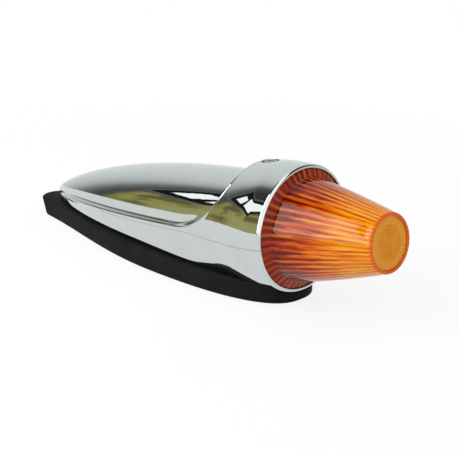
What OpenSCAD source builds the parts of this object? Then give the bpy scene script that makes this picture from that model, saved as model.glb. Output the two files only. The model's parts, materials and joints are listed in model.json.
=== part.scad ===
// Torpedo turn signal lamp: a cast housing on a saddle pad, a fluted cone lens, a bayonet bulb, its wiring.
// +X is the way the lens points and +Z is up.
// The origin is on the pad's underside, midway between the mounting holes.
// Pieces on the lens axis are drawn in an axis frame: x forward along the axis from the rim, z up from it.

/* [Body] */
// Outside diameter of the rim around the lens
rim_d = 65; // [63:0.5:67]
// Height of the rim's lowest edge above the mounting surface
rim_clear = 5.1; // [4.9:0.1:7]
// Upward tilt of the lens axis, in degrees
tilt = 6.4; // [5.6:0.1:6.8]
// Length along the axis from the rim to the tip of the tail
tail_len = 195.6; // [190:0.2:200]
// Radius of the torpedo's upper body
hump_r = 26; // [25:0.25:26.5]
// Wall thickness of the casting
wall = 2.6; // [2.2:0.1:3]

/* [Pad] */
// Thickness of the rubber pad
pad_t = 10.7; // [9.5:0.1:11.5]
// Greatest width of the pad
pad_w = 54.6; // [52:0.2:56]
// Width of the pad's blunt tail
pad_tail_w = 16; // [12:0.5:20]

/* [Lens] */
// Length of the lens in front of the rim
lens_len = 53.6; // [46:0.2:58]
// Radius of the lens at its front face
lens_tip_r = 14.5; // [13:0.25:16]
// Thickness of the lens wall
lens_wall = 2.4; // [2:0.1:3]
// Number of flutes inside the lens
flutes = 60; // [40:4:72]

/* [Mounting] */
// Distance between the two mounting threads
mount_pitch = 80; // [74:1:82]
// Tapping diameter of the mounting threads
thread_d = 4.2; // [3.3:0.1:5]
// Diameter of the cable inlet through the pad
cable_d = 8; // [6:0.5:10]

/* [Bulb] */
// Diameter of the bulb's glass
glass_d = 25; // [19:0.5:27]
// Travel of the bulb when it is pushed in
push = 2.5; // [1.5:0.1:3]
// Turn of the bulb from locked to free, in degrees
turn = 25; // [20:1:30]

/* [Hidden] */
$fn = 96;
eps = 0.02;
far = 120;

// Gap between pieces that move past each other
gap = 0.3;
// Running gap of a screw in its thread
thread_gap = 0.05;

// Body along the axis
rim_x = 100;
rim_r = rim_d / 2;
rim_h = rim_clear + rim_r;
collar_r = rim_r + 0.8;
collar_w = 24;
lip_step = 1.2;
lip_arc_s = 66.5;
lip_arc_r = 42.5;
lip_drop = 1.2;
hump_front = 40;
hump_tail_pow = 2.2;
hump_full_pow = 0.75;
belly = 36;
rim_bevel = 1.1;
body_stations = 18;
collar_stations = 9;

// Pad plan: a blunt nose in front of its widest place, a drawn-out tail behind it that leans outward
pad_tail_x = rim_x - tail_len - 9.8;
pad_front_x = rim_x - 0.6;
pad_len = pad_front_x - pad_tail_x;
pad_wide_at = 0.61;
pad_tail_pow = 1.5;
pad_nose_pow = 2.6;
pad_slant = 4.5;
pad_slant_h = 8.5;
pad_round = 6;
pad_stations = 40;
pad_lip = 3;
pad_fit = 0.25;

// Inside of the collar
flange_r = rim_r - 2.3;
flange_t = 3.3;
seal_t = 2.2;
seal_s = flange_t + seal_t;
rib_t = 3.5;
skirt_r = rim_r - 7.5;
skirt_len = 21.9;
bore_r = skirt_r + 0.4;
chamber_r = rim_r - 2.9;
bulkhead_s = 22.6;
bulkhead_t = 3;
bulkhead_r = skirt_r - 9;
foot_wall = 4.5;
tail_solid = 14;
foot_solid = 26;

// Lens screw
screw_s = 19.6;
screw_r = 2;
screw_seat = chamber_r;
recess_r = 4.6;
head_r = 4;
head_t = 2.1;
washer_t = 0.6;
head_z = screw_seat + washer_t;
head_side = 1.3;
slot_w = 1;
slot_deep = 1.1;
screw_tip = skirt_r + gap;
boss_r = 5.5;

// Reflector and its fixings
plate_t = 0.8;
plate_r = skirt_r - 2.8;
plate_s = -bulkhead_s;
fix_r = 1.25;
fix_at = plate_r - 2.7;
fix_head_r = 2.3;
fix_head_t = 1.5;
nut_t = 2;
nut_r = 2.85;
fix_slot_w = 0.6;
fix_end = 0.6;
tag_t = 0.8;
tag_ring_r = 3;
tag_strip_w = 2.8;
tag_strip_end = 8.5;

// Bulb and holder along the axis
cap_r = 7.5;
cap_wall = 0.6;
pin_s = -28.1;
pin_r = 1;
pin_reach = 8.7;
cap_back = pin_s - 7;
cap_front = pin_s + 10;
tip_s = cap_back - 1.2;
light_len = 31.8;
light_s = pin_s + light_len;
neck_r = cap_r - cap_wall;
neck_in = 3;
glass_r = glass_d / 2;
glass_t = 0.7;
stem_r = 2.4;
stem_gap = glass_r - 3.5;
bead_t = 3;
bead_bore = 1.5;
tip_r = 2.4;
holder_r = cap_r + gap;
holder_wall = 0.6;
holder_out_r = holder_r + holder_wall;
holder_flange_r = 11.5;
holder_mouth = 5;
rivet_t = 1.2;
rivet_head_r = 3;
rivet_r = 2;
rivet_tail_r = 2.6;
rivet_tail_t = 0.8;
carrier_t = 1.6;
carrier_front = tip_s - rivet_t;
carrier_back = carrier_front - carrier_t;
spring_len = 6;
spring_r = 4.6;
spring_wire = 0.4;
spring_turns = 3.25;
rear_front = carrier_back - spring_len;
rear_disc_t = 0.6;
insulator_t = 1.8;
holder_back = rear_front - rear_disc_t - insulator_t - holder_wall;
stem_out = 2;
lug_len = 3;
lug_half = 1.5;

// Mounting and wiring
mount_xs = [-mount_pitch / 2, mount_pitch / 2];
mount_boss_r = 6;
insert_r = 3.5;
insert_len = 10;
bolt_clear_r = thread_d / 2 + 0.65;
cable_x = -20;
block_len = 14;
block_w = 18;
block_h = 10;
block_z = 18;
pillar_r = 4;
way_y = 5;
barrel_r = 2;
barrel_bore = 1.1;
clamp_r = 1.2;
clamp_at = 3.5;
block_screw_r = 1.5;
block_head_r = 2.8;
block_head_t = 1.8;
pilot = 7;
lead_r = 1.3;
lead_gap = 0.1;
lead_reach = 20;
lead_steps = 18;
lead_drop = tag_strip_end - 1.7;
barrel_z = block_z + block_h / 2;

// Axis frame and turned pieces
module on_axis() {
  translate([rim_x, 0, rim_h]) rotate([0, -tilt, 0]) children();
}

module lathe(profile) {
  rotate([0, 90, 0]) rotate_extrude() polygon(profile);
}

module rod(s, length, r) {
  translate([s, 0, 0]) rotate([0, 90, 0]) cylinder(h = length, r = r);
}

module ring(s, length, r_out, r_in) {
  lathe([[r_in, s], [r_out, s], [r_out, s + length], [r_in, s + length]]);
}

function axis_point(s, y, t) = [
  rim_x + s * cos(tilt) - t * sin(tilt), y, rim_h + s * sin(tilt) + t * cos(tilt)
];

// A tube along a list of points, for the leads, the spring and the bulb's wires
function unit(v) = v / norm(v);
function along(p, i) = unit(p[min(i + 1, len(p) - 1)] - p[max(i - 1, 0)]);
function bezier(a, b, c, d, n) = [
  for (i = [0:n])
    let (u = i / n, v = 1 - u)
    a * v * v * v + b * 3 * v * v * u + c * 3 * v * u * u + d * u * u * u
];

module tube(points, r, sides) {
  n = len(points);
  rings = [
    for (i = [0:n - 1])
      let (dir = along(points, i), side = unit(cross(dir, [0, 0, 1])), top = cross(side, dir))
      for (k = [0:sides - 1]) points[i] + r * (cos(360 * k / sides) * side + sin(360 * k / sides) * top)
  ];
  walls = [
    for (i = [0:n - 2], k = [0:sides - 1])
      let (a = i * sides + k, b = i * sides + (k + 1) % sides)
      each [[a, a + sides, b], [b, a + sides, b + sides]]
  ];
  ends = [[for (k = [0:sides - 1]) k], [for (k = [sides - 1:-1:0]) (n - 1) * sides + k]];
  polyhedron(points = rings, faces = concat(walls, ends), convexity = 6);
}

// Radius of the upper body and of the outer shell at s on the axis
function hump_at(s) =
  s >= -hump_front ? hump_r
  : hump_r * pow(1 - pow((-hump_front - s) / (tail_len - hump_front), hump_tail_pow), hump_full_pow);

function smooth(u) = let (v = min(max(u, 0), 1)) v * v * (3 - 2 * v);

function shell_at(s) =
  let (flare = smooth((s + lip_arc_s) / (lip_arc_s - collar_w)))
  s > -collar_w ? collar_r + (rim_r - collar_r) * (s + collar_w) / collar_w
  : (hump_at(s) + lip_step) * (1 - flare) + collar_r * flare;

// Stations from the tail to the front, closer together at the tail
function stations(back, front) = [
  for (i = [0:body_stations]) back + (front - back) * pow(i / body_stations, 1.4)
];

function hump_profile(inset, back, front) = concat(
  [[0, back]], [for (s = stations(back, front)) [max(hump_at(s) - inset, eps), s]], [[0, front]]
);

function shell_profile(inset, back, front) = concat(
  [[0, back]],
  [for (s = stations(back, -lip_arc_s)) [max(shell_at(s) - inset, eps), s]],
  [
    for (i = [1:collar_stations])
      let (s = -lip_arc_s + (front + lip_arc_s) * i / collar_stations)
      [shell_at(s) - inset, s]
  ],
  [[0, front]]
);

// What lies above the lip, where the upper body stands clear of the outer shell
module above_lip(grow) {
  translate([-lip_arc_s, 0, lip_arc_r - lip_drop]) rotate([90, 0, 0])
    cylinder(h = far, r = lip_arc_r + grow, center = true);
  translate([-lip_arc_s - 2 * far, -far / 2, -lip_drop - grow]) cube([2 * far, far, far]);
}

// Half width of the pad at x, and of the casting's foot inside it
function pad_half(x) =
  let (
    u = (x - pad_tail_x) / pad_len,
    swell = pow(sin(90 * min(u / pad_wide_at, 1)), pad_tail_pow),
    behind = pad_tail_w / 2 + (pad_w - pad_tail_w) / 2 * swell,
    fall = pow(max(u - pad_wide_at, 0) / (1 - pad_wide_at), pad_nose_pow),
    ahead = pad_w / 2 * pow(max(1 - fall, 0), 1 / pad_nose_pow),
    cap = min((x - pad_tail_x) / pad_round, 1)
  )
  (u < pad_wide_at ? behind : ahead) * sqrt(cap * (2 - cap));

function foot_half(x, inset) =
  min(pad_half(x) - pad_lip, shell_at((x - rim_x) / cos(tilt)) - 1) - inset;

function mirrored(side) = concat(side, [for (i = [len(side) - 1:-1:0]) [side[i][0], -side[i][1]]]);

module pad_plan() {
  polygon(mirrored([
    for (i = [0:pad_stations])
      let (x = pad_tail_x + pad_len * (1 - cos(180 * i / pad_stations)) / 2)
      [x, max(pad_half(x), eps)]
  ]));
}

module foot_plan(inset, back, front) {
  polygon(mirrored([
    for (i = [0:pad_stations / 2])
      let (x = back + (front - back) * i / (pad_stations / 2))
      [x, max(foot_half(x, inset), eps)]
  ]));
}

// Casting
foot_back = rim_x - (tail_len - 2) * cos(tilt);
foot_front = rim_x - belly;
cavity_back = -(tail_len - tail_solid);
cavity_front = -(bulkhead_s + bulkhead_t);

module outer_body() {
  difference() {
    union() {
      on_axis() lathe(hump_profile(0, -tail_len, -collar_w + 2));
      on_axis() difference() {
        lathe(concat(
          [for (p = shell_profile(0, -tail_len + 1, -collar_w)) if (p[0] > 0 || p[1] < -collar_w) p],
          [[rim_r, -1.25 * rim_bevel], [rim_r - rim_bevel / 2, -rim_bevel / 4]],
          [[rim_r - rim_bevel, 0], [0, 0]]
        ));
        above_lip(0);
      }
      difference() {
        linear_extrude(rim_h) foot_plan(0, foot_back, foot_front + wall);
        on_axis() above_lip(0);
      }
    }
    difference() {
      translate([-2 * far, -far / 2, pad_t - far]) cube([4 * far, far, far]);
      on_axis() translate([-belly, -far / 2, -far]) cube(2 * far);
    }
  }
}

module cavity() {
  on_axis() lathe(hump_profile(wall, cavity_back, cavity_front));
  on_axis() difference() {
    lathe(shell_profile(wall, cavity_back, cavity_front));
    above_lip(wall);
  }
  difference() {
    linear_extrude(rim_h) foot_plan(foot_wall, foot_back + foot_solid, foot_front - wall);
    on_axis() above_lip(wall);
  }
  on_axis() lathe([
    [0, cavity_front - 1], [bulkhead_r, cavity_front - 1], [bulkhead_r, -bulkhead_s],
    [chamber_r, -bulkhead_s], [chamber_r, -seal_s - rib_t], [bore_r, -seal_s - rib_t],
    [bore_r, -seal_s], [flange_r + gap, -seal_s], [flange_r + gap, flange_t], [0, flange_t]
  ]);
}

module bosses() {
  intersection() {
    union() {
      for (x = mount_xs) translate([x, 0, pad_t]) cylinder(h = far, r = mount_boss_r);
      translate([0, 0, block_z + block_h]) cylinder(h = far, r = pillar_r);
    }
    on_axis() lathe(hump_profile(wall / 2, cavity_back, -collar_w));
  }
  on_axis() translate([-screw_s, 0, bore_r]) cylinder(h = screw_seat + wall - bore_r, r = boss_r);
}

module housing() {
  color([0.8, 0.82, 0.84]) difference() {
    union() {
      difference() {
        outer_body();
        cavity();
      }
      bosses();
    }
    for (x = mount_xs) translate([x, 0, pad_t - 1]) cylinder(h = insert_len + 1, r = insert_r);
    translate([0, 0, block_z + block_h - 1]) cylinder(h = pilot + 1, r = block_screw_r + thread_gap);
    on_axis() {
      translate([-screw_s, 0, screw_seat]) cylinder(h = far, r = recess_r);
      translate([-screw_s, 0, bore_r - 1]) cylinder(h = screw_seat, r = screw_r + thread_gap);
      for (y = [-fix_at, fix_at])
        translate([0, y, 0]) rod(cavity_front - 1, bulkhead_t + 2, fix_r + 0.1);
    }
  }
}

module base_pad() {
  color([0.1, 0.1, 0.1]) difference() {
    linear_extrude(pad_t) pad_plan();
    on_axis() lathe(concat(
      [[0, -belly - pad_fit]],
      [for (i = [0:6]) let (s = -belly - pad_fit + (belly - collar_w) * i / 6) [shell_at(s) + pad_fit, s]],
      [[collar_r + pad_fit, -collar_w], [collar_r + pad_fit, collar_w], [0, collar_w]]
    ));
    translate([pad_tail_x, 0, 0]) rotate([90, 0, 0]) linear_extrude(far, center = true)
      polygon([[-far, -eps], [pad_slant, -eps], [0, pad_slant_h], [-far, pad_slant_h]]);
    for (x = mount_xs) translate([x, 0, -1]) cylinder(h = pad_t + 2, r = bolt_clear_r);
    translate([cable_x, 0, -1]) cylinder(h = pad_t + 2, r = cable_d / 2);
  }
}

// Lens and its fixing
cone_s = 4.5;
cone_r = skirt_r + 1.2;
cone_flare = 0.4;
flange_sink = 0.3;
skirt_step = 1.4;
bead_w = 1.9;
bead_h = 0.9;
cone_in_r = cone_r - lens_wall;
face_in = lens_len - lens_wall;
face_in_r = lens_tip_r - lens_wall;
flute_depth = 0.03;

function flute_points(r) = [
  for (k = [0:4 * flutes - 1])
    let (a = 90 * k / flutes, depth = [0, 0.75, 1, 0.75][k % 4])
    r * (1 - flute_depth * depth) * [cos(a), sin(a)]
];

module lens() {
  color([0.95, 0.45, 0.05]) on_axis() difference() {
    lathe([
      [0, -skirt_len], [skirt_r, -skirt_len], [skirt_r, -flange_t], [flange_r, -flange_t],
      [flange_r, -flange_sink], [cone_r + cone_flare, -flange_sink], [cone_r, cone_s],
      [lens_tip_r, lens_len - bead_h], [lens_tip_r - bead_w / 4, lens_len],
      [lens_tip_r - bead_w * 0.7, lens_len], [lens_tip_r - bead_w, lens_len - bead_h], [0, lens_len - bead_h]
    ]);
    rod(-skirt_len - 1, skirt_len + 1 + cone_s, cone_in_r - skirt_step);
    translate([cone_s - eps, 0, 0]) rotate([0, 90, 0])
      linear_extrude(face_in - cone_s, scale = face_in_r / cone_in_r) polygon(flute_points(cone_in_r));
  }
}

module lens_seal() {
  color([0.12, 0.12, 0.12]) on_axis() ring(-seal_s, seal_t, flange_r, bore_r + 2);
}

module lens_screw() {
  color([0.6, 0.55, 0.4]) on_axis() translate([-screw_s, 0, 0]) difference() {
    union() {
      translate([0, 0, screw_tip]) cylinder(h = head_z - screw_tip, r = screw_r);
      translate([0, 0, head_z]) cylinder(h = head_side, r = head_r);
      translate([0, 0, head_z + head_side]) cylinder(h = head_t - head_side, r1 = head_r, r2 = head_r - 1);
    }
    translate([-far / 2, -slot_w / 2, head_z + head_t - slot_deep]) cube([far, slot_w, far]);
  }
}

module screw_washer() {
  color([0.7, 0.7, 0.7]) on_axis() translate([-screw_s, 0, screw_seat]) difference() {
    cylinder(h = washer_t, r = recess_r - gap);
    translate([0, 0, -1]) cylinder(h = washer_t + 2, r = screw_r + gap);
  }
}

// Reflector, its fixings and the earth tag
module reflector() {
  color([0.85, 0.85, 0.85]) on_axis() difference() {
    ring(plate_s, plate_t, plate_r, holder_out_r + thread_gap);
    for (y = [-fix_at, fix_at]) translate([0, y, 0]) rod(plate_s - 1, plate_t + 2, fix_r + 0.1);
  }
}

module reflector_screws() {
  color([0.7, 0.7, 0.7]) on_axis() for (y = [-fix_at, fix_at]) translate([0, y, 0]) {
    difference() {
      rod(plate_s + plate_t, fix_head_t, fix_head_r);
      translate([plate_s + plate_t + fix_head_t / 2, -fix_slot_w / 2, -far / 2]) cube([far, fix_slot_w, far]);
    }
    rod(cavity_front - tag_t - nut_t - fix_end, bulkhead_t + plate_t + tag_t + nut_t + fix_end, fix_r);
  }
}

module reflector_nuts() {
  color([0.7, 0.7, 0.7]) on_axis() for (y = [-fix_at, fix_at]) {
    back = cavity_front - nut_t - (y < 0 ? tag_t : 0);
    translate([back, y, 0]) rotate([0, 90, 0]) difference() {
      cylinder(h = nut_t, r = nut_r, $fn = 6);
      translate([0, 0, -1]) cylinder(h = nut_t + 2, r = fix_r + thread_gap);
    }
  }
}

module earth_tag() {
  color([0.8, 0.75, 0.5]) on_axis() translate([cavity_front - tag_t, -fix_at, 0]) difference() {
    union() {
      rod(0, tag_t, tag_ring_r);
      translate([0, -tag_strip_w / 2, -tag_strip_end]) cube([tag_t, tag_strip_w, tag_strip_end - fix_r]);
    }
    rod(-1, tag_t + 2, fix_r + 0.1);
  }
}

// Bulb holder
pin_room = pin_r + gap;
slot_back = pin_s - push - pin_room;
slot_end = 14;

module pin_slots() {
  for (half = [0, 180]) rotate([half, 0, 0]) {
    rotate([turn, 0, 0]) translate([slot_back + pin_room, 0, -pin_room]) cube([far, far, 2 * pin_room]);
    translate([slot_back, 0, 0]) rotate([90, 0, 90]) linear_extrude(push + 2 * pin_room) polygon(concat(
      [[0, 0]],
      [for (i = [0:3]) let (a = -slot_end + (turn + 2 * slot_end) * i / 3) 2 * cap_r * [cos(a), sin(a)]]
    ));
  }
}

module socket_shell() {
  color([0.75, 0.72, 0.6]) on_axis() difference() {
    lathe([
      [holder_mouth, holder_back], [holder_out_r, holder_back], [holder_out_r, plate_s + plate_t],
      [holder_flange_r, plate_s + plate_t], [holder_flange_r, plate_s + 2 * plate_t],
      [holder_r, plate_s + 2 * plate_t], [holder_r, holder_back + holder_wall],
      [holder_mouth, holder_back + holder_wall]
    ]);
    pin_slots();
  }
}

module contact_carrier() {
  color([0.45, 0.3, 0.18]) on_axis() ring(carrier_back, carrier_t, cap_r, rivet_r);
}

module contact_rivet() {
  color([0.8, 0.65, 0.3]) on_axis() {
    rod(carrier_front, rivet_t, rivet_head_r);
    rod(carrier_back, carrier_t, rivet_r);
    rod(carrier_back - rivet_tail_t, rivet_tail_t, rivet_tail_r);
  }
}

function coil_points(turns, per_turn) = [
  for (i = [0:turns * per_turn])
    let (a = 360 * i / per_turn, run = spring_len - 2 * spring_wire)
    axis_point(rear_front + spring_wire + run * i / (turns * per_turn), spring_r * cos(a), spring_r * sin(a))
];

module contact_spring() {
  color([0.6, 0.6, 0.62]) tube(coil_points(spring_turns, 16), spring_wire, 6);
}

module rear_insulator() {
  color([0.2, 0.13, 0.1]) on_axis()
    ring(holder_back + holder_wall, insulator_t, holder_r - thread_gap, lug_half);
}

module rear_contact() {
  color([0.8, 0.65, 0.3]) on_axis() {
    rod(rear_front - rear_disc_t, rear_disc_t, spring_r + 1);
    rod(holder_back - stem_out, rear_front - rear_disc_t - holder_back + stem_out, lug_half);
    translate([holder_back - stem_out - lug_len, -lug_half, -1]) cube([lug_len, 2 * lug_half, 2]);
  }
}

// Bulb
neck_out = 4;
shoulder_r = 0.89 * glass_r;
shoulder_s = light_s - 0.72 * glass_r;

function glass_profile(inset) = concat(
  [[neck_r - inset, cap_front - neck_in], [neck_r - inset, cap_front + 1]],
  [[neck_r + glass_t - inset, cap_front + neck_out], [shoulder_r - inset, shoulder_s]],
  [for (a = [-15:15:75]) [(glass_r - inset) * cos(a), light_s + (glass_r - inset) * sin(a)]],
  [[0, light_s + glass_r - inset]]
);

module bulb_glass() {
  color([0.9, 0.9, 0.9, 0.4]) on_axis() difference() {
    lathe(concat([[0, cap_front - neck_in]], glass_profile(0)));
    lathe(concat(
      [[0, cap_front - neck_in - 1], [neck_r - glass_t, cap_front - neck_in - 1]], glass_profile(glass_t)
    ));
  }
}

module bulb_stem() {
  color([0.85, 0.88, 0.88]) on_axis() lathe([
    [0, cap_front - neck_in], [neck_r - glass_t, cap_front - neck_in],
    [neck_r - glass_t, cap_front - neck_in + 1],
    [stem_r + 0.6, cap_front - neck_in + 3], [stem_r, light_s - stem_gap], [0, light_s - stem_gap]
  ]);
}

support_y = 3.4;
support_root_y = 1.5;
support_run = 6;
support_r = 0.35;

module bulb_supports() {
  color([0.6, 0.6, 0.6]) for (y = [-1, 1]) tube([
    axis_point(light_s - stem_gap, y * support_root_y, 0),
    axis_point(light_s - stem_gap + support_run, y * support_y, 0),
    axis_point(light_s + 2 * support_r, y * support_y, 0)
  ], support_r, 8);
}

module bulb_filament() {
  color([0.4, 0.4, 0.4]) on_axis() translate([light_s, support_y - support_r, 0])
    rotate([90, 0, 0]) cylinder(h = 2 * (support_y - support_r), r = support_r * 0.85);
}

module bulb_cap() {
  color([0.8, 0.68, 0.38]) on_axis() {
    ring(cap_back, cap_front - cap_back, cap_r, neck_r);
    for (side = [-90, 90]) rotate([side, 0, 0])
      translate([pin_s, 0, neck_r]) cylinder(h = pin_reach - neck_r, r = pin_r);
  }
}

module bulb_insulator() {
  color([0.08, 0.08, 0.08]) on_axis() ring(cap_back, bead_t, neck_r, bead_bore);
}

module bulb_contact() {
  color([0.7, 0.7, 0.7]) on_axis() {
    rod(tip_s, cap_back - tip_s, tip_r);
    rod(cap_back, bead_t, bead_bore);
  }
}

// Wiring
module terminal_block() {
  color([0.9, 0.88, 0.8]) difference() {
    translate([-block_len / 2, -block_w / 2, block_z]) cube([block_len, block_w, block_h]);
    translate([0, 0, block_z - 1]) cylinder(h = block_h + 2, r = block_screw_r + 0.1);
    for (y = [-way_y, way_y]) {
      translate([-block_len, y, barrel_z]) rotate([0, 90, 0]) cylinder(h = 2 * block_len, r = barrel_r);
      for (x = [-clamp_at, clamp_at])
        translate([x, y, block_z - 1]) cylinder(h = block_h / 2 + 1, r = clamp_r + 0.1);
    }
  }
}

module terminal_barrels() {
  color([0.8, 0.65, 0.3]) for (y = [-way_y, way_y]) difference() {
    translate([0, y, barrel_z]) rotate([0, 90, 0]) cylinder(h = block_len - 1, r = barrel_r, center = true);
    translate([0, y, barrel_z]) rotate([0, 90, 0]) cylinder(h = block_len, r = barrel_bore, center = true);
    for (x = [-clamp_at, clamp_at])
      translate([x, y, block_z]) cylinder(h = block_h / 2, r = clamp_r + thread_gap);
  }
}

module terminal_screws() {
  color([0.7, 0.7, 0.7]) for (x = [-clamp_at, clamp_at], y = [-way_y, way_y]) difference() {
    translate([x, y, block_z + 0.4]) cylinder(h = block_h / 2 - barrel_bore - 0.4, r = clamp_r);
    translate([x - 2, y - 0.25, block_z]) cube([4, 0.5, 1.2]);
  }
}

module block_screw() {
  color([0.7, 0.7, 0.7]) {
    difference() {
      translate([0, 0, block_z - block_head_t]) cylinder(h = block_head_t, r = block_head_r);
      translate([-far / 2, -slot_w / 2, block_z - 1.5 * block_head_t]) cube([far, slot_w, block_head_t]);
    }
    translate([0, 0, block_z]) cylinder(h = block_h + pilot - 1, r = block_screw_r);
  }
}

barrel_end = [block_len / 2 - 0.5 + lead_gap, 0, barrel_z];

module live_lead() {
  start = axis_point(holder_back - stem_out - lug_len / 2, lug_half + lead_gap, 0);
  finish = barrel_end + [0, way_y, 0];
  out = start + [0, lead_reach, 0];
  route = bezier(start, out, finish + [lead_reach, 0, 0], finish, lead_steps);
  color([0.55, 0.1, 0.08]) tube(route, lead_r, 10);
}

module earth_lead() {
  start = axis_point(cavity_front - tag_t - lead_gap, -fix_at, -lead_drop);
  back = axis_point(cavity_front - tag_t - lead_reach, -fix_at, -lead_drop);
  finish = barrel_end - [0, way_y, 0];
  route = bezier(start, back, finish + [lead_reach, 0, 0], finish, lead_steps);
  color([0.1, 0.1, 0.1]) tube(route, lead_r, 10);
}

module mount_inserts() {
  color([0.8, 0.65, 0.3]) for (x = mount_xs) translate([x, 0, pad_t]) difference() {
    cylinder(h = insert_len, r = insert_r);
    translate([0, 0, -1]) cylinder(h = insert_len + 2, r = thread_d / 2);
  }
}

housing();
base_pad();
lens();
lens_seal();
lens_screw();
screw_washer();
reflector();
reflector_screws();
reflector_nuts();
earth_tag();
socket_shell();
contact_carrier();
contact_rivet();
contact_spring();
rear_insulator();
rear_contact();
bulb_glass();
bulb_stem();
bulb_supports();
bulb_filament();
bulb_cap();
bulb_insulator();
bulb_contact();
terminal_block();
terminal_barrels();
terminal_screws();
block_screw();
live_lead();
earth_lead();
mount_inserts();
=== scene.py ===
import bpy
import json
import math
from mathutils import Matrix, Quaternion, Vector


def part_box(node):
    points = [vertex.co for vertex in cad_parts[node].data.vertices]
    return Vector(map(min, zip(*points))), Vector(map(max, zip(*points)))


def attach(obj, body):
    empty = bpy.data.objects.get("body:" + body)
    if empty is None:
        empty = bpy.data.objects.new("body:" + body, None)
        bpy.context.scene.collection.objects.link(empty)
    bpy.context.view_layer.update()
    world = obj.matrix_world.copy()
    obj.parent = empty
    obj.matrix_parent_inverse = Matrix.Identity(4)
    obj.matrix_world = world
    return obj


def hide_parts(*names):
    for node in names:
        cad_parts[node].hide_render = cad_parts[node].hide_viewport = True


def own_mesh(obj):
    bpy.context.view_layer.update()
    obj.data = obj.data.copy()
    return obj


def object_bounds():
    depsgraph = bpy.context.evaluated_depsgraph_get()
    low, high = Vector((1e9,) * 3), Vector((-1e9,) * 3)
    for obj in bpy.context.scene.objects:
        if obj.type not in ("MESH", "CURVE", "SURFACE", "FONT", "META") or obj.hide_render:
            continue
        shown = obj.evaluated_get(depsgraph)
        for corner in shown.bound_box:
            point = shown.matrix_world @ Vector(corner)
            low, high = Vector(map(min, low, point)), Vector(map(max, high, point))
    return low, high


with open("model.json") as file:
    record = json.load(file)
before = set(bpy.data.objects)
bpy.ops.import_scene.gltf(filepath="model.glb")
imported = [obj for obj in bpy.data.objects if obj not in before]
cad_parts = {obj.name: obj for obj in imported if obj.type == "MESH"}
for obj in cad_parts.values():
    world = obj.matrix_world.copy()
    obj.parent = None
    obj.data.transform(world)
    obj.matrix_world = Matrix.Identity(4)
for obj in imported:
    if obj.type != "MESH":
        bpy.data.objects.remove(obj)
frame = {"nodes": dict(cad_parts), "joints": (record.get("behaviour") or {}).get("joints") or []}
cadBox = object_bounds()
nodes = frame["nodes"]
joints = {joint["name"]: joint for joint in frame["joints"]}
mm = 0.001

# the lamp axis runs through the rim's centre, and s, y, t count along it, across it and up from it
lampAxis = Vector(joints["lens_pull"]["axis"]).normalized()
lampUp = Vector((-lampAxis.z, 0, lampAxis.x))
lampSide = Vector((0, 1, 0))
lampTilt = math.atan2(lampAxis.z, lampAxis.x)
rimCentre = Vector(joints["bulb_turn"]["pos_m"])


def onAxis(s, y, t):
    return rimCentre + lampAxis * s + lampSide * y + lampUp * t


def smooth(u):
    v = min(max(u, 0), 1)
    return v * v * (3 - 2 * v)


def smoother(u):
    v = min(max(u, 0), 1)
    return v * v * v * (v * (6 * v - 15) + 10)


def mixed(a, b, share):
    return a + (b - a) * share


# tools of the bench
def selectOnly(piece):
    if bpy.context.object and bpy.context.object.mode == "EDIT":
        bpy.ops.object.mode_set(mode="OBJECT")
    bpy.ops.object.select_all(action="DESELECT")
    if piece:
        piece.select_set(True)
        bpy.context.view_layer.objects.active = piece


def openMesh(piece):
    selectOnly(piece)
    bpy.ops.object.mode_set(mode="EDIT")
    bpy.ops.mesh.select_mode(type="VERT")
    bpy.ops.mesh.select_all(action="SELECT")


def closeMesh(piece, merge=0.01 * mm):
    openMesh(piece)
    bpy.ops.mesh.remove_doubles(threshold=merge)
    bpy.ops.mesh.dissolve_degenerate(threshold=merge / 10)
    bpy.ops.mesh.select_all(action="SELECT")
    bpy.ops.mesh.normals_make_consistent(inside=False)
    bpy.ops.object.mode_set(mode="OBJECT")
    return piece


def joined(name, parts):
    selectOnly(parts[0])
    for part in parts[1:]:
        part.select_set(True)
    bpy.ops.object.join()
    parts[0].name = name
    return closeMesh(parts[0])


def applied(piece, kind, **settings):
    selectOnly(piece)
    modifier = piece.modifiers.new(kind.lower(), kind)
    for key, value in settings.items():
        setattr(modifier, key, value)
    bpy.ops.object.modifier_apply(modifier=modifier.name)


def carve(piece, cutter):
    applied(piece, "BOOLEAN", object=cutter, operation="DIFFERENCE", solver="EXACT")
    bpy.data.objects.remove(cutter)


def softShade(piece, degrees):
    selectOnly(piece)
    bpy.ops.object.shade_smooth_by_angle(angle=math.radians(degrees))
    return piece


# a grid primitive whose columns and rows are laid on a surface by its rule
def gridPiece(name, columns, rows, rule):
    selectOnly(None)
    bpy.ops.mesh.primitive_grid_add(x_subdivisions=columns, y_subdivisions=rows, size=2)
    piece = bpy.context.object
    piece.name = name
    for vertex in piece.data.vertices:
        column = round((vertex.co.x + 1) / 2 * columns)
        row = round((vertex.co.y + 1) / 2 * rows)
        vertex.co = rule(column, row)
    return piece


# a circle primitive laid on a closed outline of (s, r) points and spun about a line
def turned(name, outline, steps, centre=None, axis=None, out=None):
    centre = centre or rimCentre
    axis = axis or lampAxis
    out = out or lampUp
    selectOnly(None)
    bpy.ops.mesh.primitive_circle_add(vertices=len(outline), radius=1)
    piece = bpy.context.object
    piece.name = name
    for vertex, (s, r) in zip(piece.data.vertices, outline):
        vertex.co = centre + axis * s + out * r
    openMesh(piece)
    bpy.ops.mesh.spin(steps=steps, angle=2 * math.pi, center=centre, axis=axis)
    return closeMesh(piece)


def placed(piece, body, slot, *stoodFor):
    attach(piece, body)
    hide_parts(*stoodFor)


# camera at the photo's angle, for a square image
cameraAt = {
    "target": Vector((47.91, 0, 24.68)) * mm,
    "distance": 674.5 * mm,
    "azimuth": 45.07,
    "elevation": 19.2,
    "lens": 102.2,
    "sensor": 36,
    "clipStart": 0.01,
}


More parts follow.
